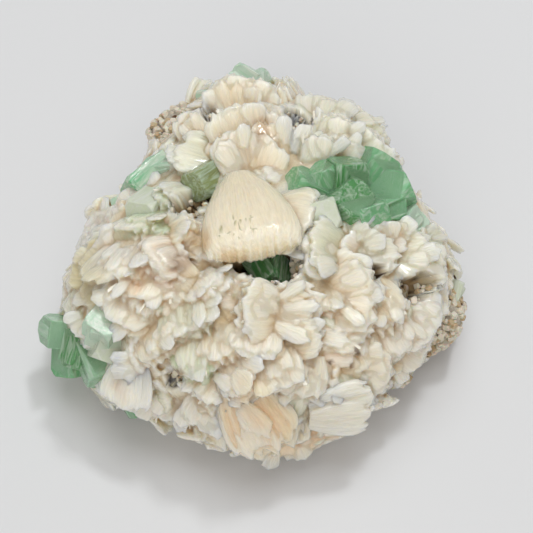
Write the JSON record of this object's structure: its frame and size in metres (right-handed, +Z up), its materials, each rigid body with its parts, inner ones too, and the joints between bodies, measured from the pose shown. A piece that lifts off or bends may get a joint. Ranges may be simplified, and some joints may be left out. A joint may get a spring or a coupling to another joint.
{
  "type": "mineral specimen",
  "caption": "Apophyllite with stilbite: green blocky crystals set in a crust of cream and white sheaves over a dark basalt matrix with a flat underside.",
  "frame": {"origin": "on the flat underside of the basalt, under the middle of the specimen", "axes": "+Z up, +Y away from the side that the picture is taken from, +X to that side's right"},
  "size_m": [0.1183, 0.1298, 0.057],
  "materials": {
    "matrix": "rough weathered basalt",
    "stilbite": "pearly, finely striated",
    "apophyllite": "vitreous to milky",
    "druse": "granular"
  },
  "bodies": {
    "root": {"matrix": "matrix", "stilbite": "stilbite", "apophyllite_right_cluster": "apophyllite", "apophyllite_left_shoulder": "apophyllite", "apophyllite_saddle": "apophyllite", "apophyllite_hollow": "apophyllite", "apophyllite_left_point": "apophyllite", "apophyllite_far_point": "apophyllite", "apophyllite_far_left": "apophyllite", "apophyllite_right_end": "apophyllite", "apophyllite_near_left": "apophyllite", "druse_far_hollow": "druse", "druse_right_hollow": "druse"}
  },
  "joints": []
}
